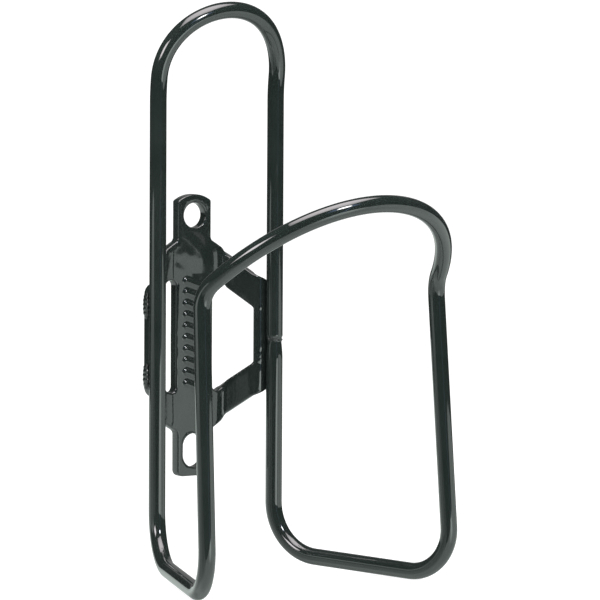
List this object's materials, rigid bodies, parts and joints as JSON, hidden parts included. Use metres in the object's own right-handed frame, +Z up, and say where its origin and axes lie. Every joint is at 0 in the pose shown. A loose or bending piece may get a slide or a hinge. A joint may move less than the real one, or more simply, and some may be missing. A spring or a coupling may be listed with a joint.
{
  "type": "bicycle water bottle cage",
  "caption": "Welded rod bottle cage: one bent rod wraps round the bottle, with a dished, pierced plate across its back for the frame bolts.",
  "frame": {"origin": "on the plate's flat back face, midway between the two bolt holes", "axes": "+Y out of the plate's back face, towards the bicycle's tube; +Z up along the bottle; +X to the right for someone looking at the cage from the bottle's side"},
  "size_m": [0.0824, 0.0904, 0.1539],
  "materials": {
    "rod_paint": "gloss",
    "plate_paint": "gloss",
    "weld_paint": "gloss"
  },
  "bodies": {
    "root": {"bent_rod": "rod_paint", "mounting_plate": "plate_paint", "butt_weld": "weld_paint", "upper_left_weld_bead": "weld_paint", "lower_left_weld_bead": "weld_paint", "upper_right_weld_bead": "weld_paint", "lower_right_weld_bead": "weld_paint"}
  },
  "joints": []
}
